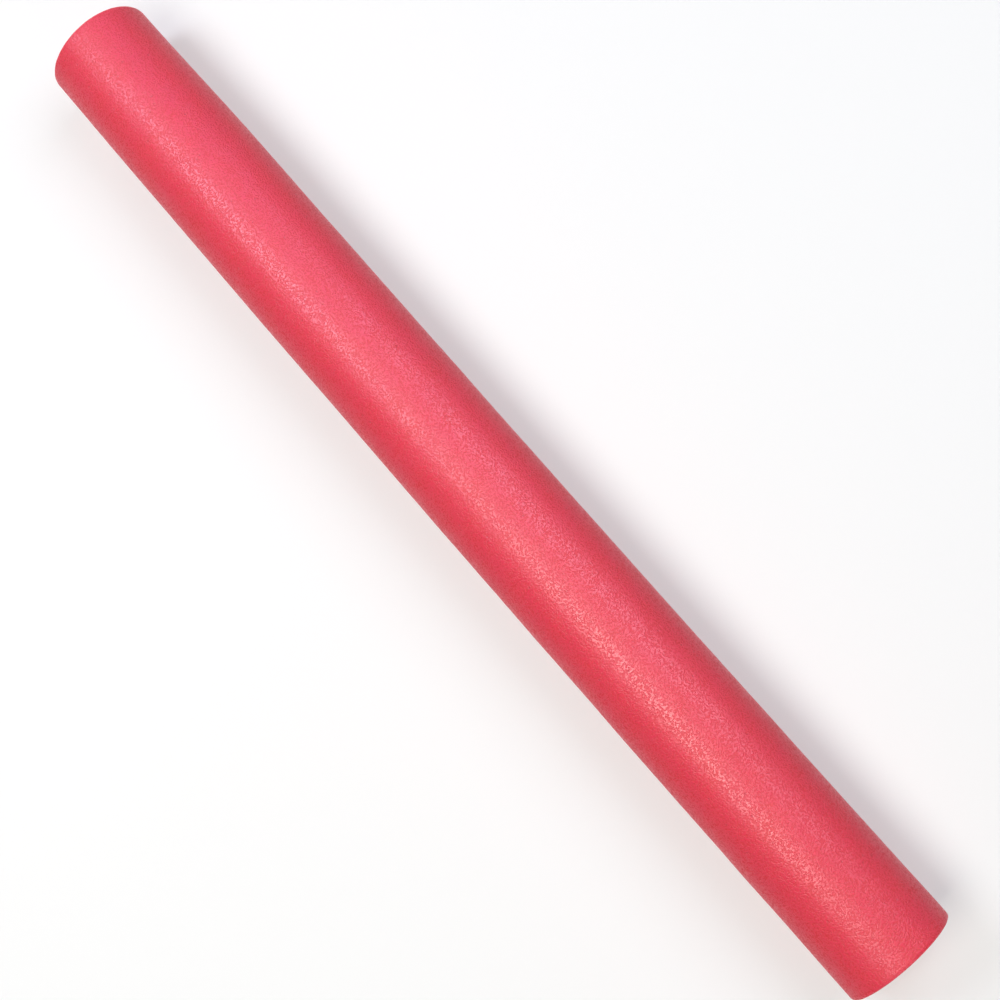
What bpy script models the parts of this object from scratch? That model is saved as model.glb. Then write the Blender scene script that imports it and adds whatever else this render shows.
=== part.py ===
"""Pool noodle: one length of extruded foam tube with a hole along its middle.

Units are metres and +Z is up. The tube lies on the plane z = 0 with its length along X and
the middle of its box over the origin. Its slight bow lies in the horizontal plane, with the
middle of the tube towards -Y and both ends towards +Y.
"""

import math

import bmesh
import bpy

# Driving dimensions of the tube
LENGTH = 0.610  # from one cut face to the other, along the centre line
OUTER_DIAMETER = 0.060
BORE_DIAMETER = 0.019
BOW_SAGITTA = 0.0015  # how far the middle stands aside from a straight line between the ends
SKIN_RIM_ROUNDING = 0.0015  # where the skin turns over the edge of a cut face
BORE_RIM_ROUNDING = 0.0005  # where the bore opens in a cut face
REST_FLAT_DEPTH = 0.0005  # how far the tube's own weight presses its underside flat

# How far the cutter reaches past what it cuts
CUTTER_OVERRUN = 0.010

# Fineness of the faceted surface
SIDES = 48
STATIONS = 16
RIM_STEPS = 3

OUTER_RADIUS = OUTER_DIAMETER / 2
BORE_RADIUS = BORE_DIAMETER / 2
HALF_LENGTH = LENGTH / 2

# The foam's colour is a warm pinkish red, and its skin has a soft satin gloss
FOAM_COLOR = (0.80, 0.065, 0.105, 1.0)
FOAM_ROUGHNESS = 0.5


def clear_scene():
    for obj in list(bpy.data.objects):
        bpy.data.objects.remove(obj, do_unlink=True)


def new_collection(name):
    collection = bpy.data.collections.new(name)
    bpy.context.scene.collection.children.link(collection)
    return collection


def foam_material():
    material = bpy.data.materials.new("foam")
    material.use_nodes = True
    shader = material.node_tree.nodes["Principled BSDF"]
    shader.inputs["Base Color"].default_value = FOAM_COLOR
    shader.inputs["Roughness"].default_value = FOAM_ROUGHNESS
    shader.inputs["Metallic"].default_value = 0.0
    material.diffuse_color = FOAM_COLOR
    return material


def quarter_round(radius_centre, height_centre, rounding, from_quarter):
    """Points of a clockwise quarter circle that starts at the given quarter turn."""
    points = []
    for step in range(RIM_STEPS + 1):
        turn = math.pi / 2 * (from_quarter - step / RIM_STEPS)
        radius = radius_centre + rounding * math.cos(turn)
        height = height_centre + rounding * math.sin(turn)
        points.append((radius, height))
    return points


def wall(radius, from_height, to_height):
    """Stations along a straight wall, leaving out both of its ends."""
    rise = to_height - from_height
    return [(radius, from_height + rise * i / STATIONS) for i in range(1, STATIONS)]


def tube_section():
    """Half of the tube's lengthwise section, clockwise from the upper cut face."""
    skin_centre = OUTER_RADIUS - SKIN_RIM_ROUNDING
    skin_end = HALF_LENGTH - SKIN_RIM_ROUNDING
    bore_centre = BORE_RADIUS + BORE_RIM_ROUNDING
    bore_end = HALF_LENGTH - BORE_RIM_ROUNDING
    return (
        quarter_round(skin_centre, skin_end, SKIN_RIM_ROUNDING, 1)
        + wall(OUTER_RADIUS, skin_end, -skin_end)
        + quarter_round(skin_centre, -skin_end, SKIN_RIM_ROUNDING, 0)
        + quarter_round(bore_centre, -bore_end, BORE_RIM_ROUNDING, -1)
        + wall(BORE_RADIUS, -bore_end, bore_end)
        + quarter_round(bore_centre, bore_end, BORE_RIM_ROUNDING, -2)
    )


def section_mesh(points):
    """The section as a closed loop of edges in the XZ plane, ready to be turned about Z."""
    outline = bmesh.new()
    corners = [outline.verts.new((radius, 0, height)) for radius, height in points]
    for i, corner in enumerate(corners):
        outline.edges.new((corners[i - 1], corner))
    mesh = bpy.data.meshes.new("foam_tube")
    outline.to_mesh(mesh)
    outline.free()
    return mesh


def flat_cutter(collection):
    """A block under z = 0 that is longer and wider than the tube's shadow."""
    length = LENGTH + 2 * CUTTER_OVERRUN
    width = OUTER_DIAMETER + 2 * BOW_SAGITTA + 2 * CUTTER_OVERRUN
    depth = REST_FLAT_DEPTH + CUTTER_OVERRUN
    mesh = bpy.data.meshes.new("underside_cutter")
    block = bmesh.new()
    bmesh.ops.create_cube(block, size=1)
    bmesh.ops.scale(block, vec=(length, width, depth), verts=block.verts)
    bmesh.ops.translate(block, vec=(0, 0, -depth / 2), verts=block.verts)
    block.to_mesh(mesh)
    block.free()
    cutter = bpy.data.objects.new("underside_cutter", mesh)
    cutter.hide_render = True
    cutter.display_type = "WIRE"
    collection.objects.link(cutter)
    return cutter


def foam_tube(collection, cutter):
    """The tube: its section turned about Z, bent to the bow, laid along X and cut flat below."""
    tube = bpy.data.objects.new("foam_tube", section_mesh(tube_section()))
    tube.data.materials.append(foam_material())
    collection.objects.link(tube)

    turned = tube.modifiers.new("turned_section", "SCREW")
    turned.axis = "Z"
    turned.angle = math.tau
    turned.steps = SIDES
    turned.render_steps = SIDES
    turned.use_merge_vertices = True
    turned.merge_threshold = 0.00001
    turned.use_smooth_shade = True

    # A shallow arc stands aside by an eighth of its length times its angle
    bow = tube.modifiers.new("bow", "SIMPLE_DEFORM")
    bow.deform_method = "BEND"
    bow.deform_axis = "Y"
    bow.angle = 8 * BOW_SAGITTA / LENGTH

    flat = tube.modifiers.new("rest_flat", "BOOLEAN")
    flat.operation = "DIFFERENCE"
    flat.solver = "EXACT"
    flat.object = cutter

    # Keeps the cut faces flat in the shading, with the walls smooth
    shading = tube.modifiers.new("flat_ends", "WEIGHTED_NORMAL")
    shading.weight = 100

    # The turned axis goes to world X, and the side that the bow leans to goes to world Y
    tube.rotation_euler = (math.pi / 2, 0, math.pi / 2)
    tube.location = (0, -BOW_SAGITTA / 2, OUTER_RADIUS - REST_FLAT_DEPTH)
    return tube


clear_scene()
noodle = new_collection("pool_noodle")
cutters = new_collection("cutters")
foam_tube(noodle, flat_cutter(cutters))
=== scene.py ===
import math

import bpy
import numpy as np
from mathutils import Matrix, Vector, geometry


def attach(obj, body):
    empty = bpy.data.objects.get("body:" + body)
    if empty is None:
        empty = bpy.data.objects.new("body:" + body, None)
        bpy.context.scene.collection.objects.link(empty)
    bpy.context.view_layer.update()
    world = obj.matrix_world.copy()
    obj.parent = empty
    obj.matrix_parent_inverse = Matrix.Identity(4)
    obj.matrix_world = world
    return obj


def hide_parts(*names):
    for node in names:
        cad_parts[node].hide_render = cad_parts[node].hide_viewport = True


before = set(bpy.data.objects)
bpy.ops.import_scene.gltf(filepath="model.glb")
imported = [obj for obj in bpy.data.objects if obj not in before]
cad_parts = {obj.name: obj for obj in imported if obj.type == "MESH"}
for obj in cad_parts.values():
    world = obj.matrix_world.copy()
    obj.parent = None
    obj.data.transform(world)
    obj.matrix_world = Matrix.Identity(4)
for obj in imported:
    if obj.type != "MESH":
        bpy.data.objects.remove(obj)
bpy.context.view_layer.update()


# The view. The tube lies on the floor and the camera looks down on it from about arm's length.
# It stands over the near half of the tube and leans back a little, so that end shows wider.
LENS_MM = 57.6
SENSOR_MM = 36.0
NEAREST_SEEN = 0.01
CAMERA_PLACE = Vector((0.1478, 0.0012, 0.8115))
CAMERA_LEAN = math.radians(9.43)
TUBE_SLOPE_IN_VIEW = math.radians(48.70)

lens = bpy.data.cameras.new("overhead_camera")
lens.lens = LENS_MM
lens.sensor_width = SENSOR_MM
lens.clip_start = NEAREST_SEEN
camera = bpy.data.objects.new("overhead_camera", lens)
lean = Matrix.Rotation(CAMERA_LEAN, 4, "Y")
roll = Matrix.Rotation(TUBE_SLOPE_IN_VIEW, 4, "Z")
camera.matrix_world = Matrix.Translation(CAMERA_PLACE) @ lean @ roll
bpy.context.scene.collection.objects.link(camera)
bpy.context.scene.camera = camera
bpy.context.scene.view_settings.view_transform = "Standard"


# The studio. A white floor that keeps the tube's soft shadow, a white world, and round lamps: two
# above the tube's left side, one at its right, and two low ones for its ends. Four more, which are
# short of red, show in what is glossy alone and spread the tube's sheen.
FLOOR_SIZE = 8.0
FLOOR_DROP = 0.0001
FLOOR_COLOR = (0.62, 0.62, 0.62, 1.0)
FLOOR_ROUGHNESS = 0.9
FLOOR_GLOW = 0.28
FLOOR_FADE_START = 0.5
FLOOR_FADE_END = 1.9
FLOOR_FADE_GLOW = 0.6
WORLD_SEEN = 0.95
WORLD_STRENGTH = 0.12
LAMP_DISTANCE = 1.45
WARM_LIGHT = (1.0, 0.98, 0.86)
VIOLET_LIGHT = (0.89, 0.90, 1.0)
COOL_LIGHT = (0.89, 0.92, 1.0)
PLAIN_LIGHT = (1.0, 0.99, 0.95)
MINT_SHEEN = (0.62, 1.0, 0.90)
SKY_SHEEN = (0.40, 0.74, 1.0)
PALE_SHEEN = (0.80, 0.90, 1.0)
BLUE_SHEEN = (0.20, 0.50, 1.0)
LAMPS = {
    "near_lamp": {"power": 9.6, "size": 0.7, "color": WARM_LIGHT, "along": 0.15, "turn": -24},
    "far_lamp": {"power": 10.6, "size": 0.7, "color": VIOLET_LIGHT, "along": -0.75, "turn": -24},
    "side_lamp": {"power": 9.6, "size": 1.0, "color": COOL_LIGHT, "along": -0.05, "turn": 36},
    "near_end_lamp": {
        "power": 6.0, "size": 0.8, "color": PLAIN_LIGHT, "along": 0.30, "turn": -20, "tilt": 74
    },
    "far_end_lamp": {
        "power": 6.0, "size": 0.8, "color": PLAIN_LIGHT, "along": -0.30, "turn": 20, "tilt": -74
    },
}
SHEEN_LAMPS = {
    "near_sheen_lamp": {"power": 13.0, "size": 1.4, "color": MINT_SHEEN, "along": 0.15, "turn": -13},
    "far_sheen_lamp": {"power": 13.0, "size": 1.4, "color": SKY_SHEEN, "along": -0.75, "turn": -13},
    "side_sheen_lamp": {"power": 6.0, "size": 1.5, "color": PALE_SHEEN, "along": -0.05, "turn": 45},
    "far_side_sheen_lamp": {"power": 9.0, "size": 1.4, "color": BLUE_SHEEN, "along": -0.75, "turn": 38},
}


def add_node(tree, kind, inputs=None, **settings):
    """Add a node. Inputs go by socket name or number and take a value or another node's output."""
    made = tree.nodes.new(kind)
    for name, value in settings.items():
        setattr(made, name, value)
    for socket, value in (inputs or {}).items():
        if isinstance(value, bpy.types.NodeSocket):
            tree.links.new(value, made.inputs[socket])
        else:
            made.inputs[socket].default_value = value
    return made


def calculate(tree, operation, first, second=0.0, third=0.0):
    """Add a Math node and return its output."""
    inputs = {0: first, 1: second, 2: third}
    return add_node(tree, "ShaderNodeMath", inputs, operation=operation).outputs[0]


def seen_directly(tree):
    """One for rays from the camera, and for mirrored and transmitted ones, and zero for the rest."""
    path = add_node(tree, "ShaderNodeLightPath")
    seen = calculate(tree, "MAXIMUM", path.outputs["Is Camera Ray"], path.outputs["Is Glossy Ray"])
    return calculate(tree, "MAXIMUM", seen, path.outputs["Is Transmission Ray"])


def floor_material():
    """White and matt. In the view it fades into the white world away from the tube."""
    material = bpy.data.materials.new("studio_floor")
    material.use_nodes = True
    tree = material.node_tree
    shader = tree.nodes["Principled BSDF"]
    shader.inputs["Base Color"].default_value = FLOOR_COLOR
    shader.inputs["Roughness"].default_value = FLOOR_ROUGHNESS
    shader.inputs["Specular IOR Level"].default_value = 0.0
    shader.inputs["Emission Color"].default_value = (1.0, 1.0, 1.0, 1.0)
    place = add_node(tree, "ShaderNodeTexCoord").outputs["Object"]
    reach = add_node(tree, "ShaderNodeVectorMath", {0: place}, operation="LENGTH").outputs["Value"]
    inputs = {
        "Value": reach,
        "From Min": FLOOR_FADE_START,
        "From Max": FLOOR_FADE_END,
        "To Min": FLOOR_GLOW,
        "To Max": FLOOR_GLOW + FLOOR_FADE_GLOW,
    }
    glow = add_node(tree, "ShaderNodeMapRange", inputs, interpolation_type="SMOOTHSTEP").outputs[0]
    glow = calculate(tree, "MULTIPLY", seen_directly(tree), glow)
    tree.links.new(glow, shader.inputs["Emission Strength"])
    return material


def studio_world():
    world = bpy.data.worlds.new("studio_world")
    world.use_nodes = True
    tree = world.node_tree
    background = tree.nodes["Background"]
    background.inputs["Color"].default_value = (1.0, 1.0, 1.0, 1.0)
    extra = WORLD_SEEN - WORLD_STRENGTH
    strength = calculate(tree, "MULTIPLY_ADD", seen_directly(tree), extra, WORLD_STRENGTH)
    tree.links.new(strength, background.inputs["Strength"])
    return world


def add_lamp(name, power, size, color, along, turn, tilt=0):
    """Aim a round lamp at a place along the tube, and give the object that holds it.

    It hangs overhead, tilted towards an end and then turned about the tube by so many degrees.
    """
    lamp = bpy.data.lights.new(name, "AREA")
    lamp.energy = power
    lamp.shape = "DISK"
    lamp.size = size
    lamp.color = color
    holder = bpy.data.objects.new(name, lamp)
    holder.visible_camera = False
    turned = Matrix.Rotation(math.radians(-turn), 4, "X")
    tilted = Matrix.Rotation(math.radians(tilt), 4, "Y")
    target = Matrix.Translation((along, 0, 0))
    holder.matrix_world = turned @ target @ tilted @ Matrix.Translation((0, 0, LAMP_DISTANCE))
    bpy.context.scene.collection.objects.link(holder)
    return holder


half = FLOOR_SIZE / 2
floor_outline = ((-half, -half), (half, -half), (half, half), (-half, half))
floor_mesh = bpy.data.meshes.new("studio_floor")
floor_corners = [(x, y, -FLOOR_DROP) for x, y in floor_outline]
floor_mesh.from_pydata(floor_corners, [], [(0, 1, 2, 3)])
floor_mesh.materials.append(floor_material())
floor = bpy.data.objects.new("studio_floor", floor_mesh)
bpy.context.scene.collection.objects.link(floor)
bpy.context.scene.world = studio_world()
for lamp_name, lamp_values in LAMPS.items():
    add_lamp(lamp_name, **lamp_values)
for lamp_name, lamp_values in SHEEN_LAMPS.items():
    add_lamp(lamp_name, **lamp_values).visible_diffuse = False


# The foam tube. One length of extruded closed-cell polyethylene foam, 60 mm thick, with a 19 mm
# hole along its middle. The die closes the outside to a satin skin, and sawing it to length opens
# the cells on both ends. It lies slightly bowed, on the narrow strip that its weight presses flat.
LENGTH = 0.610
OUTER_RADIUS = 0.030
BORE_RADIUS = 0.0095
BOW_SAGITTA = 0.0015
SKIN_RIM_ROUNDING = 0.0015
BORE_RIM_ROUNDING = 0.0005
REST_FLAT_DEPTH = 0.0005

SKIN_SIDES = 240
SKIN_RING_SPACING = 0.0010
BORE_SIDES = 80
BORE_MOUTH_DEPTH = 0.035
BORE_MOUTH_SPACING = 0.0009
BORE_DEEP_SPACING = 0.006
RIM_STEPS = 4
CELL_SIZE = 0.00088
CELL_JITTER_SHARE = 0.46
CELL_SEED = 7
CELL_MARGIN = 0.6 * CELL_SIZE
SAME_SPOT_DISTANCE = 1e-4 * CELL_SIZE
WELD_DISTANCE = 1e-3 * CELL_SIZE

# Which part of the surface a face belongs to
SKIN, SAWN_EDGE, OPEN_CELL, BORE = range(4)

# How far the surface rises and falls, and over what distance
RELIEF = {
    "Cell Depth": 0.00045,
    "Wall Wear": 0.00010,
    "Grain Size": 0.0022,
    "Grain Height": 0.00010,
    "Dimple Size": 0.007,
    "Dimple Height": 0.00012,
    "Sway Size": 0.055,
    "Sway Height": 0.0005,
    "Bore Size": 0.003,
    "Bore Height": 0.0004,
    "Squeeze Length": 0.10,
    "Squeeze Share": 0.052,
}
RELIEF_DETAIL = {"Grain": 2.0, "Dimple": 1.0, "Sway": 1.0, "Bore": 2.0}
RELIEF_DISTORTION = 0.3
NOISE_MIDDLE = 0.5
PIT_DEPTH_SHARES = (0.35, 1.0)
PIT_FLOOR_SHARES = (0.5, 0.8)
WALL_WEAR_SHARES = (-1.0, 0.0)
SMOOTH_FOLD = math.radians(40)

# The flat layout of the surface: gaps between its patches, sawn faces enlarged, bore shortened
FLAT_GAP = 0.002
SAWN_ZOOM = 1.5
BORE_SHRINK = 0.3

# Pinkish red through and through, paler where a hill or a cell wall stands up
SKIN_HILL = (0.68, 0.006, 0.040, 1.0)
# The darker valley colour is painted shade in the wrinkles of the skin's grain.
SKIN_VALLEY_SHADE = (0.59, 0.001, 0.014, 1.0)
# The pinholes' darker colour is painted shade in the holes.
SKIN_PINHOLE_SHADE = (0.45, 0.012, 0.030, 1.0)
SKIN_HILL_ROUGHNESS = 0.34
SKIN_VALLEY_ROUGHNESS = 0.61
SKIN_GLOSS = 0.64
SKIN_GRAIN_SIZE = 0.00085
GRAIN_DETAIL = 0.0
GRAIN_SQUIRM = 0.7
HILL_FOOT_SHARE = 0.33
HILL_TOP_SHARE = 0.62
SKIN_CLOUD_SIZE = 0.014
SKIN_PINHOLE_SPACING = 0.006
PINHOLE_EDGES = (0.06, 0.12)
PINHOLE_SHARE = 0.5
CLOUD_DETAIL = 2.0
CLOUD_EDGES = (0.35, 0.65)
CLOUD_TINT = (0.64, 0.004, 0.058, 1.0)
CLOUD_SHARE = 0.2
SKIN_GRAIN_DEPTH = 0.00010
# The pale wall colour is a painted highlight on the cell walls that stand up.
SAWN_WALL_HIGHLIGHT = (0.92, 0.36, 0.34, 1.0)
SAWN_FLOOR = (0.78, 0.025, 0.045, 1.0)
SAWN_ROUGHNESS = 0.75
SAWN_GLOSS = 0.5
SAWN_GRAIN_SIZE = 0.0007
SAWN_GRAIN_DEPTH = 0.00005
SAWN_CLOUD_SIZE = 0.006
SAWN_CLOUD_LIFT = 0.35
# The bore's red is lighter than the skin's: painted light in the shaded inside of the bore.
BORE_LIFTED_HILL = (0.90, 0.030, 0.060, 1.0)
BORE_LIFTED_VALLEY = (0.86, 0.001, 0.014, 1.0)
BORE_ROUGHNESS = 0.65
BORE_GLOSS = 0.2
BORE_GRAIN_SIZE = 0.0010
BORE_GRAIN_DEPTH = 0.00012


def even_places(start, end, step):
    return list(np.linspace(start, end, round((end - start) / step) + 1))


def rounded_mouth(wall_radius, rounding, side):
    """(place, radius) stations that turn from a wall into the near cut face."""
    stations = []
    for turn in np.linspace(0, math.pi / 2, RIM_STEPS + 1):
        place = LENGTH / 2 - rounding * (1 - math.sin(turn))
        stations.append((place, wall_radius + side * rounding * (1 - math.cos(turn))))
    return stations


def both_ways(near_stations):
    """The stations from the middle to the near face, after their mirror image."""
    return [(-place, radius) for place, radius in reversed(near_stations) if place > 0] + near_stations


def skin_stations():
    places = even_places(0, LENGTH / 2 - SKIN_RIM_ROUNDING, SKIN_RING_SPACING)[:-1]
    wall = [(place, OUTER_RADIUS) for place in places]
    return both_ways(wall + rounded_mouth(OUTER_RADIUS, SKIN_RIM_ROUNDING, -1))


def bore_stations():
    mouth = LENGTH / 2 - BORE_MOUTH_DEPTH
    places = even_places(0, mouth, BORE_DEEP_SPACING)[:-1]
    places += even_places(mouth, LENGTH / 2 - BORE_RIM_ROUNDING, BORE_MOUTH_SPACING)[:-1]
    wall = [(place, BORE_RADIUS) for place in places]
    return both_ways(wall + rounded_mouth(BORE_RADIUS, BORE_RIM_ROUNDING, 1))


def ring(radius, sides):
    turns = [math.tau * side / sides for side in range(sides)]
    return [Vector((radius * math.cos(turn), radius * math.sin(turn))) for turn in turns]


def turned_wall(stations, sides, faces_out):
    """Points and quads of a wall: a ring about X at each station, joined to the next."""
    points = [(place, *spot) for place, radius in stations for spot in ring(radius, sides)]
    quads = []
    for first in range(0, len(points) - sides, sides):
        for side in range(sides):
            low, high = first + side, first + (side + 1) % sides
            quad = (low, high, high + sides, low + sides)
            quads.append(quad if faces_out else quad[::-1])
    return points, quads


def cell_centres(inner, outer, random):
    """A jittered triangular lattice of points between two radii."""
    row_height = CELL_SIZE * math.sqrt(3) / 2
    rows = math.ceil(outer / row_height)
    columns = math.ceil(outer / CELL_SIZE)
    shift = CELL_SIZE * CELL_JITTER_SHARE
    centres = []
    for row in range(-rows, rows + 1):
        for column in range(-columns, columns + 1):
            place = Vector(((column + row % 2 / 2) * CELL_SIZE, row * row_height))
            place += Vector(random.uniform(-shift, shift, 2))
            if inner + CELL_MARGIN < place.length < outer - CELL_MARGIN:
                centres.append(place)
    return centres


def sawn_face(random):
    """Points, open cells and rim triangles of a cut face, seen from outside it.

    The cells are drawn round the centres: their corners are the middles of the triangles
    that join neighbouring centres. Along both rims, plain triangles close what is left.
    """
    inner = BORE_RADIUS + BORE_RIM_ROUNDING
    outer = OUTER_RADIUS - SKIN_RIM_ROUNDING
    rims = ring(inner, BORE_SIDES) + ring(outer, SKIN_SIDES)
    spots = rims + cell_centres(inner, outer, random)
    joined = geometry.delaunay_2d_cdt(spots, [], [], 0, SAME_SPOT_DISTANCE)[2]
    triangles = [corners for corners in joined if max(corners) >= BORE_SIDES]
    middles = [sum((spots[corner] for corner in corners), Vector((0, 0))) / 3 for corners in triangles]
    points = rims + middles
    owners, left_of = {}, {}
    for number, corners in enumerate(triangles, len(rims)):
        for i, corner in enumerate(corners):
            owners.setdefault(corner, []).append(number)
            left_of[corner, corners[(i + 1) % 3]] = number
    cells = [
        sorted(owners[centre], key=lambda number: math.atan2(*(points[number] - spots[centre]).yx))
        for centre in range(len(rims), len(spots))
    ]
    edge = []
    for (corner, neighbour), left in left_of.items():
        if corner < len(rims):
            right = left_of.get((neighbour, corner))
            edge.append((corner, neighbour, left) if right is None else (corner, right, left))
    return points, cells, edge


def tube_cage():
    """The straight tube about the X axis: skin, bore and two sawn faces, each face with its zone."""
    random = np.random.default_rng(CELL_SEED)
    patches = [
        (*turned_wall(skin_stations(), SKIN_SIDES, True), SKIN),
        (*turned_wall(bore_stations(), BORE_SIDES, False), BORE),
    ]
    for end in (1, -1):
        points, cells, edge = sawn_face(random)
        places = [(end * LENGTH / 2, *spot) for spot in points]
        patches.append((places, [cell[::end] for cell in cells], OPEN_CELL))
        patches.append((places, [corners[::end] for corners in edge], SAWN_EDGE))
    points, faces, zones = [], [], []
    for patch_points, patch_faces, zone in patches:
        first = len(points)
        points += patch_points
        faces += [[first + corner for corner in corners] for corners in patch_faces]
        zones += [zone] * len(patch_faces)
    mesh = bpy.data.meshes.new("noodle_foam")
    mesh.from_pydata(points, [], faces)
    mesh.attributes.new("zone", "INT", "FACE").data.foreach_set("value", zones)
    return mesh


def new_group(name, kind, sockets):
    """An empty node group with its (name, IN or OUT, socket type) sockets, and what goes in and out."""
    tree = bpy.data.node_groups.new(name, kind)
    for socket_name, way, socket_type in sockets:
        tree.interface.new_socket(socket_name, in_out=way + "PUT", socket_type=socket_type)
    return tree, tree.nodes.new("NodeGroupInput").outputs, tree.nodes.new("NodeGroupOutput").inputs


def noise(tree, place, size, detail, distortion=0.0):
    """A Noise Texture from 0 to 1, in lumps about as wide as size."""
    scale = calculate(tree, "DIVIDE", 1.0, size)
    inputs = {"Vector": place, "Scale": scale, "Detail": detail, "Distortion": distortion}
    return add_node(tree, "ShaderNodeTexNoise", inputs).outputs[0]


def named(tree, name, data_type):
    """Read an attribute of the mesh."""
    inputs = {"Name": name}
    return add_node(tree, "GeometryNodeInputNamedAttribute", inputs, data_type=data_type).outputs[0]


def keep(tree, shape, name, value, data_type, domain):
    """Store an attribute on the mesh."""
    inputs = {0: shape, "Name": name, "Value": value}
    settings = {"data_type": data_type, "domain": domain}
    return add_node(tree, "GeometryNodeStoreNamedAttribute", inputs, **settings).outputs[0]


def on_zone(tree, zone):
    """True on the faces of a zone, and on every point that they have."""
    pair = {2: named(tree, "zone", "INT"), 3: zone}
    settings = {"data_type": "INT", "operation": "EQUAL"}
    same = add_node(tree, "FunctionNodeCompare", pair, **settings).outputs[0]
    settings = {"data_type": "BOOLEAN", "domain": "FACE"}
    return add_node(tree, "GeometryNodeFieldOnDomain", {0: same}, **settings).outputs[0]


def random_share(tree, low, high, seed):
    """A number between low and high, another one for each element."""
    inputs = {2: low, 3: high, "Seed": seed}
    return add_node(tree, "FunctionNodeRandomValue", inputs, data_type="FLOAT").outputs[1]


def raised(tree, shape, selection, height):
    """Move the selected points along their normals."""
    normal = add_node(tree, "GeometryNodeInputNormal").outputs[0]
    inputs = {0: normal, "Scale": height}
    step = add_node(tree, "ShaderNodeVectorMath", inputs, operation="SCALE").outputs[0]
    inputs = {0: shape, "Selection": selection, "Offset": step}
    return add_node(tree, "GeometryNodeSetPosition", inputs).outputs[0]


def opened_cells(tree, shape, given):
    """Sink a pit into each sawn cell, with a smaller floor, and wear down the walls."""
    cell = on_zone(tree, OPEN_CELL)
    shape = keep(tree, shape, "pit_share", random_share(tree, *PIT_DEPTH_SHARES, 1), "FLOAT", "FACE")
    inputs = {0: shape, "Selection": cell, "Offset Scale": 0.0, "Individual": True}
    pits = add_node(tree, "GeometryNodeExtrudeMesh", inputs, mode="FACES").outputs
    floor_share = random_share(tree, *PIT_FLOOR_SHARES, 2)
    floors = {0: pits["Mesh"], "Selection": pits["Top"], "Scale": floor_share}
    shape = add_node(tree, "GeometryNodeScaleElements", floors).outputs[0]
    depth = calculate(tree, "MULTIPLY", named(tree, "pit_share", "FLOAT"), given["Cell Depth"])
    shape = raised(tree, shape, pits["Top"], calculate(tree, "MULTIPLY", depth, -1.0))
    wall = add_node(tree, "FunctionNodeBooleanMath", {0: pits["Top"]}, operation="NOT").outputs[0]
    shape = keep(tree, shape, "cell_wall", wall, "FLOAT", "POINT")
    inputs = {0: wall, 1: cell}
    worn_wall = add_node(tree, "FunctionNodeBooleanMath", inputs, operation="AND").outputs[0]
    wear = calculate(tree, "MULTIPLY", random_share(tree, *WALL_WEAR_SHARES, 3), given["Wall Wear"])
    return raised(tree, shape, worn_wall, wear)


def roughened_walls(tree, shape, given):
    """Give the skin fine grain, wider dimples and a slow sway, and the bore a coarser grain."""
    place = add_node(tree, "GeometryNodeInputPosition").outputs[0]
    rise = {}
    for kind, detail in RELIEF_DETAIL.items():
        pattern = noise(tree, place, given[kind + " Size"], detail, RELIEF_DISTORTION)
        level = calculate(tree, "SUBTRACT", pattern, NOISE_MIDDLE)
        rise[kind] = calculate(tree, "MULTIPLY", level, given[kind + " Height"])
    skin_rise = calculate(tree, "ADD", rise["Grain"], rise["Dimple"])
    skin_rise = calculate(tree, "ADD", skin_rise, rise["Sway"])
    shape = raised(tree, shape, on_zone(tree, SKIN), skin_rise)
    return raised(tree, shape, on_zone(tree, BORE), rise["Bore"])


def squeezed_end(tree, shape, given):
    """Narrow the far end a little on one side, as handling has left it."""
    place = add_node(tree, "GeometryNodeInputPosition").outputs[0]
    along, aside = add_node(tree, "ShaderNodeSeparateXYZ", {0: place}).outputs[:2]
    half_length = calculate(tree, "MULTIPLY", given["Length"], 0.5)
    inputs = {
        "Value": calculate(tree, "MULTIPLY", along, -1.0),
        "From Min": calculate(tree, "SUBTRACT", half_length, given["Squeeze Length"]),
        "From Max": half_length,
        "To Max": given["Squeeze Share"],
    }
    reach = add_node(tree, "ShaderNodeMapRange", inputs, interpolation_type="SMOOTHSTEP").outputs[0]
    step = calculate(tree, "MULTIPLY", calculate(tree, "MAXIMUM", aside, 0.0), reach)
    step = calculate(tree, "MULTIPLY", step, -1.0)
    offset = add_node(tree, "ShaderNodeCombineXYZ", {1: step}).outputs[0]
    return add_node(tree, "GeometryNodeSetPosition", {0: shape, "Offset": offset}).outputs[0]


def bowed(tree, shape, given):
    """Bend the straight tube: each cross-section turns about the far-off centre of the bow's arc."""
    length_squared = calculate(tree, "POWER", given["Length"], 2.0)
    eight_bows = calculate(tree, "MULTIPLY", given["Bow Sagitta"], 8.0)
    bend = calculate(tree, "DIVIDE", eight_bows, length_squared)
    place = add_node(tree, "GeometryNodeInputPosition").outputs[0]
    along, aside, up = add_node(tree, "ShaderNodeSeparateXYZ", {0: place}).outputs
    radius = calculate(tree, "DIVIDE", 1.0, bend)
    inputs = {
        "Vector": add_node(tree, "ShaderNodeCombineXYZ", {1: aside, 2: up}).outputs[0],
        "Center": add_node(tree, "ShaderNodeCombineXYZ", {1: radius}).outputs[0],
        "Angle": calculate(tree, "MULTIPLY", along, bend),
    }
    turned = add_node(tree, "ShaderNodeVectorRotate", inputs, rotation_type="Z_AXIS").outputs[0]
    return add_node(tree, "GeometryNodeSetPosition", {0: shape, "Position": turned}).outputs[0]


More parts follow.
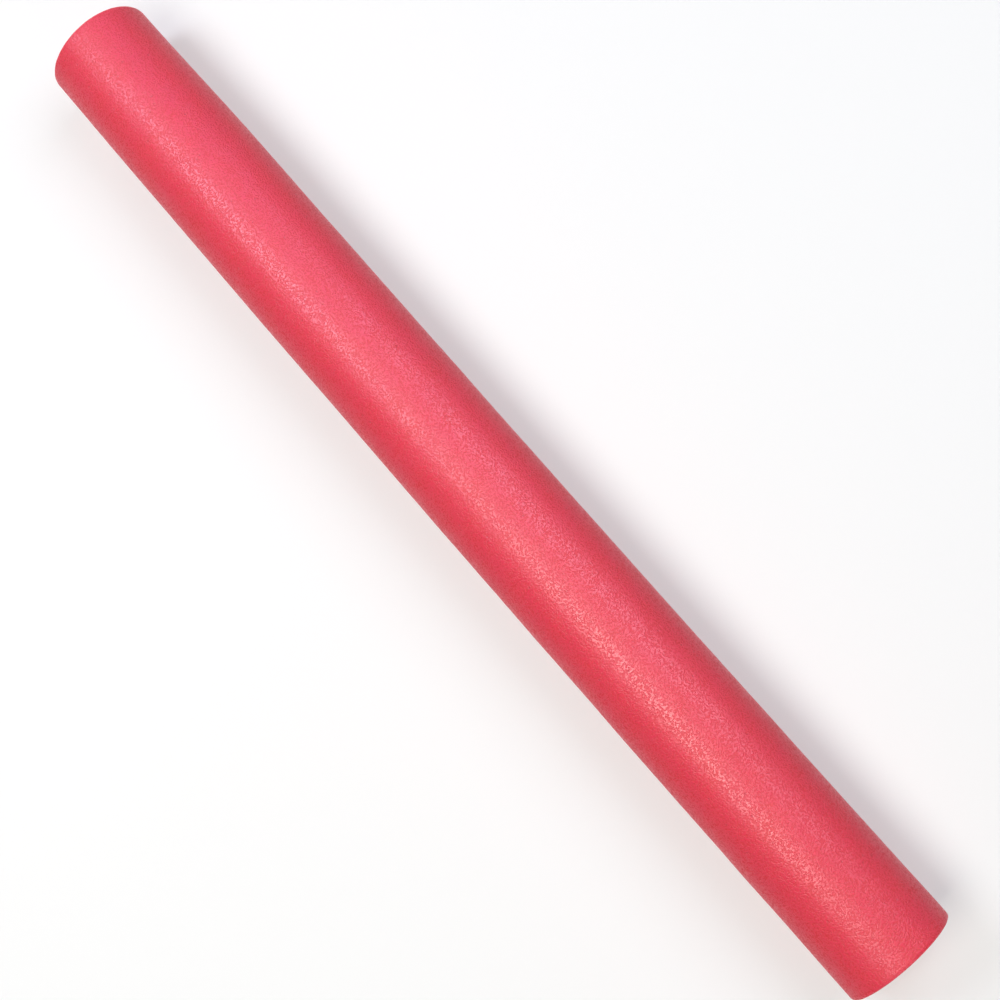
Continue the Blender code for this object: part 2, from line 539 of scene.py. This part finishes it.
def laid_down(tree, shape, given):
    """Lift the tube onto the floor, which presses its lowest strip flat."""
    place = add_node(tree, "GeometryNodeInputPosition").outputs[0]
    along, aside, up = add_node(tree, "ShaderNodeSeparateXYZ", {0: place}).outputs
    aside = calculate(tree, "MULTIPLY_ADD", given["Bow Sagitta"], -0.5, aside)
    up = calculate(tree, "MAXIMUM", calculate(tree, "ADD", up, given["Axis Height"]), 0.0)
    resting = add_node(tree, "ShaderNodeCombineXYZ", {0: along, 1: aside, 2: up}).outputs[0]
    return add_node(tree, "GeometryNodeSetPosition", {0: shape, "Position": resting}).outputs[0]


def shaded(tree, shape):
    """Smooth everywhere but at the folds of the sawn cells."""
    shape = add_node(tree, "GeometryNodeSetShadeSmooth", {0: shape, "Shade Smooth": True}).outputs[0]
    fold = add_node(tree, "GeometryNodeInputMeshEdgeAngle").outputs["Unsigned Angle"]
    inputs = {
        0: shape,
        "Selection": calculate(tree, "GREATER_THAN", fold, SMOOTH_FOLD),
        "Shade Smooth": False,
    }
    return add_node(tree, "GeometryNodeSetShadeSmooth", inputs, domain="EDGE").outputs[0]


def foam_surface_tree():
    """Geometry nodes that turn the cage of the tube into the foam that lies on the floor."""
    sizes = ("Length", "Bow Sagitta", "Axis Height", "Cell Depth", "Wall Wear", "Grain Size")
    sizes += ("Grain Height", "Dimple Size", "Dimple Height", "Sway Size", "Sway Height")
    sizes += ("Bore Size", "Bore Height", "Squeeze Length", "Squeeze Share")
    sockets = [("Geometry", "IN", "NodeSocketGeometry"), ("Geometry", "OUT", "NodeSocketGeometry")]
    sockets += [(name, "IN", "NodeSocketFloat") for name in sizes]
    sockets += [(name, "IN", "NodeSocketMaterial") for name in ("Sawn Foam", "Skin", "Bore Wall")]
    tree, given, result = new_group("foam_tube_surface", "GeometryNodeTree", sockets)
    weld = {0: given["Geometry"], "Distance": WELD_DISTANCE}
    shape = add_node(tree, "GeometryNodeMergeByDistance", weld).outputs[0]
    shape = opened_cells(tree, shape, given)
    place = add_node(tree, "GeometryNodeInputPosition").outputs[0]
    shape = keep(tree, shape, "straight_place", place, "FLOAT_VECTOR", "POINT")
    shape = roughened_walls(tree, shape, given)
    shape = squeezed_end(tree, shape, given)
    shape = bowed(tree, shape, given)
    shape = laid_down(tree, shape, given)
    shape = shaded(tree, shape)
    shape = add_node(tree, "GeometryNodeRealizeInstances", {0: shape}).outputs[0]
    inputs = {0: shape, "Material": given["Sawn Foam"]}
    shape = add_node(tree, "GeometryNodeSetMaterial", inputs).outputs[0]
    for name, zone in (("Skin", SKIN), ("Bore Wall", BORE)):
        inputs = {0: shape, "Selection": on_zone(tree, zone), "Material": given[name]}
        shape = add_node(tree, "GeometryNodeSetMaterial", inputs).outputs[0]
    tree.links.new(shape, result["Geometry"])
    return tree


def foam_grain_group():
    """The grain that the finishes share: squirming fine hills, wide clouds and sparse pinholes."""
    sockets = [("Vector", "IN", "NodeSocketVector")]
    for name in ("Grain Size", "Cloud Size", "Pinhole Spacing"):
        sockets.append((name, "IN", "NodeSocketFloat"))
    for name in ("Hills", "Clouds", "Pinholes"):
        sockets.append((name, "OUT", "NodeSocketFloat"))
    tree, given, result = new_group("foam_grain", "ShaderNodeTree", sockets)
    place = given["Vector"]
    hills = noise(tree, place, given["Grain Size"], GRAIN_DETAIL, GRAIN_SQUIRM)
    inputs = {"Value": hills, "From Min": HILL_FOOT_SHARE, "From Max": HILL_TOP_SHARE}
    hills = add_node(tree, "ShaderNodeMapRange", inputs, interpolation_type="SMOOTHSTEP").outputs[0]
    tree.links.new(hills, result["Hills"])
    tree.links.new(noise(tree, place, given["Cloud Size"], CLOUD_DETAIL), result["Clouds"])
    density = calculate(tree, "DIVIDE", 1.0, given["Pinhole Spacing"])
    inputs = {"Vector": place, "Scale": density}
    holes = add_node(tree, "ShaderNodeTexVoronoi", inputs).outputs["Distance"]
    rim, outside = PINHOLE_EDGES
    inputs = {"Value": holes, "From Min": rim, "From Max": outside, "To Min": 1.0, "To Max": 0.0}
    tree.links.new(add_node(tree, "ShaderNodeMapRange", inputs).outputs[0], result["Pinholes"])
    return tree


def mixed(tree, share, low, high):
    """A colour that goes from low to high as share goes from 0 to 1."""
    inputs = {0: share, 6: low, 7: high}
    return add_node(tree, "ShaderNodeMix", inputs, data_type="RGBA").outputs[2]


def foam_finish(name, grain, sizes, roughness, gloss):
    """A material with the foam's grain. Gives its tree, its shader and the grain's masks."""
    material = bpy.data.materials.new(name)
    material.use_nodes = True
    tree = material.node_tree
    shader = tree.nodes["Principled BSDF"]
    shader.inputs["Roughness"].default_value = roughness
    shader.inputs["Specular IOR Level"].default_value = gloss
    place = add_node(tree, "ShaderNodeTexCoord").outputs["Object"]
    masks = add_node(tree, "ShaderNodeGroup", {"Vector": place, **sizes}, node_tree=grain).outputs
    return material, tree, shader, masks


def bumped(tree, shader, height, depth):
    """Raise the height mask by so much, in the shading alone."""
    inputs = {"Height": height, "Distance": depth, "Strength": 1.0}
    tree.links.new(add_node(tree, "ShaderNodeBump", inputs).outputs[0], shader.inputs["Normal"])


def skin_finish(grain):
    """Satin, with pale hills between dark wrinkles of painted shade, cooler clouds and sparse pinholes
    darkened with painted shade.
    """
    sizes = {
        "Grain Size": SKIN_GRAIN_SIZE,
        "Cloud Size": SKIN_CLOUD_SIZE,
        "Pinhole Spacing": SKIN_PINHOLE_SPACING,
    }
    made = foam_finish("foam_skin", grain, sizes, SKIN_VALLEY_ROUGHNESS, SKIN_GLOSS)
    material, tree, shader, masks = made
    # Painted shade: the valleys between the hills are darker.
    color = mixed(tree, masks["Hills"], SKIN_VALLEY_SHADE, SKIN_HILL)
    low, high = CLOUD_EDGES
    inputs = {"Value": masks["Clouds"], "From Min": low, "From Max": high, "To Max": CLOUD_SHARE}
    cloud = add_node(tree, "ShaderNodeMapRange", inputs).outputs[0]
    color = mixed(tree, cloud, color, CLOUD_TINT)
    # Painted shade: the pinholes are darkened.
    pinhole = calculate(tree, "MULTIPLY", masks["Pinholes"], PINHOLE_SHARE)
    color = mixed(tree, pinhole, color, SKIN_PINHOLE_SHADE)
    tree.links.new(color, shader.inputs["Base Color"])
    fall = SKIN_HILL_ROUGHNESS - SKIN_VALLEY_ROUGHNESS
    roughness = calculate(tree, "MULTIPLY_ADD", masks["Hills"], fall, SKIN_VALLEY_ROUGHNESS)
    tree.links.new(roughness, shader.inputs["Roughness"])
    height = calculate(tree, "SUBTRACT", masks["Hills"], masks["Pinholes"])
    bumped(tree, shader, height, SKIN_GRAIN_DEPTH)
    return material


def sawn_finish(grain):
    """Matt, with pale walls round the deep red floors of the opened cells: the pale walls are painted
    highlights.
    """
    sizes = {"Grain Size": SAWN_GRAIN_SIZE, "Cloud Size": SAWN_CLOUD_SIZE}
    made = foam_finish("sawn_foam", grain, sizes, SAWN_ROUGHNESS, SAWN_GLOSS)
    material, tree, shader, masks = made
    wall = add_node(tree, "ShaderNodeAttribute", attribute_name="cell_wall").outputs["Fac"]
    # Painted highlights: the standing cell walls are paler, in random speckles.
    lit_wall = calculate(tree, "MULTIPLY", wall, masks["Hills"])
    paleness = calculate(tree, "ADD", masks["Clouds"], SAWN_CLOUD_LIFT)
    share = calculate(tree, "MULTIPLY", lit_wall, paleness)
    tree.links.new(mixed(tree, share, SAWN_FLOOR, SAWN_WALL_HIGHLIGHT), shader.inputs["Base Color"])
    bumped(tree, shader, masks["Hills"], SAWN_GRAIN_DEPTH)
    return material


def bore_finish(grain):
    """Deep red and nearly matt, with a coarse grain, in a red lighter than the skin's that is painted
    light in the shaded bore.
    """
    sizes = {"Grain Size": BORE_GRAIN_SIZE}
    made = foam_finish("bore_wall", grain, sizes, BORE_ROUGHNESS, BORE_GLOSS)
    material, tree, shader, masks = made
    # Painted light: the bore is given a lighter red than the skin.
    tree.links.new(mixed(tree, masks["Hills"], BORE_LIFTED_VALLEY, BORE_LIFTED_HILL), shader.inputs["Base Color"])
    bumped(tree, shader, masks["Hills"], BORE_GRAIN_DEPTH)
    return material


def per_corner(mesh, name, key, width, owners):
    """The values of an attribute, one row for each face corner, looked up by the corner's owner."""
    values = np.empty(len(mesh.attributes[name].data) * width, np.float32)
    mesh.attributes[name].data.foreach_get(key, values)
    return values.reshape(-1, width)[owners]


def unroll(mesh):
    """Lay the surface out flat on a square, so that its colours can be baked into one picture.

    The skin is cut along the underside and into three strips. Two stand in the left column and
    one at the top of the right, over the bore, which is shortened, and the enlarged sawn faces.
    """
    points = np.empty(len(mesh.loops), np.int32)
    totals = np.empty(len(mesh.polygons), np.int32)
    mesh.loops.foreach_get("vertex_index", points)
    mesh.polygons.foreach_get("loop_total", totals)
    faces = np.repeat(np.arange(len(totals)), totals)
    place = per_corner(mesh, "straight_place", "vector", 3, points)
    zone = per_corner(mesh, "zone", "value", 1, faces)[:, 0]
    middle = np.stack([np.bincount(faces, axis) / totals for axis in place.T], 1)[faces]

    turn_of_face = np.arctan2(middle[:, 1], middle[:, 2])
    turn = np.arctan2(place[:, 1], place[:, 2])
    turn += math.tau * np.round((turn_of_face - turn) / math.tau)
    along, aside, up = place.T
    radius = np.hypot(aside, up)
    strip_length = (LENGTH + 2 * SKIN_RIM_ROUNDING) / 3
    girth = math.tau * OUTER_RADIUS
    strip = np.clip(np.round(middle[:, 0] / strip_length), -1, 1)
    square = 2 * strip_length + 3 * FLAT_GAP
    right = girth + 2 * FLAT_GAP
    sawn_reach = OUTER_RADIUS * SAWN_ZOOM

    skin_along = along + np.sign(along) * (OUTER_RADIUS - radius) - strip * strip_length
    skin_up = skin_along + strip_length / 2 + FLAT_GAP + (strip > -1) * (strip_length + FLAT_GAP)
    skin_across = turn * OUTER_RADIUS + girth / 2 + FLAT_GAP + (strip > 0) * (girth + FLAT_GAP)
    bore_along = along + np.sign(along) * (radius - BORE_RADIUS)
    bore_across = (bore_along + LENGTH / 2) * BORE_SHRINK + right + FLAT_GAP
    bore_up = turn * BORE_RADIUS + math.pi * BORE_RADIUS + 2 * sawn_reach + 2 * FLAT_GAP
    sawn_across = aside * SAWN_ZOOM + sawn_reach + right + (along > 0) * (2 * sawn_reach + FLAT_GAP)
    sawn_up = up * SAWN_ZOOM + sawn_reach + FLAT_GAP
    across = np.select([zone == SKIN, zone == BORE], [skin_across, bore_across], sawn_across)
    height = np.select([zone == SKIN, zone == BORE], [skin_up, bore_up], sawn_up)
    flat = np.stack([across, height], 1) / square
    mesh.uv_layers.new(name="OFBake").uv.foreach_set("vector", flat.astype(np.float32).ravel())


def foam_tube():
    """The finished foam, as one plain mesh at the origin."""
    grain = foam_grain_group()
    cage = bpy.data.objects.new("tube_cage", tube_cage())
    bpy.context.scene.collection.objects.link(cage)
    surface = cage.modifiers.new("foam_surface", "NODES")
    surface.node_group = foam_surface_tree()
    values = {
        "Length": LENGTH,
        "Bow Sagitta": BOW_SAGITTA,
        "Axis Height": OUTER_RADIUS - REST_FLAT_DEPTH,
        "Skin": skin_finish(grain),
        "Sawn Foam": sawn_finish(grain),
        "Bore Wall": bore_finish(grain),
        **RELIEF,
    }
    for socket in surface.node_group.interface.items_tree:
        if socket.name in values:
            surface[socket.identifier] = values[socket.name]
    made = cage.evaluated_get(bpy.context.evaluated_depsgraph_get())
    tube = bpy.data.objects.new("noodle_foam", bpy.data.meshes.new_from_object(made))
    bpy.data.objects.remove(cage)
    bpy.context.scene.collection.objects.link(tube)
    unroll(tube.data)
    return tube


tube = foam_tube()
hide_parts("foam_tube")
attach(tube, "root")
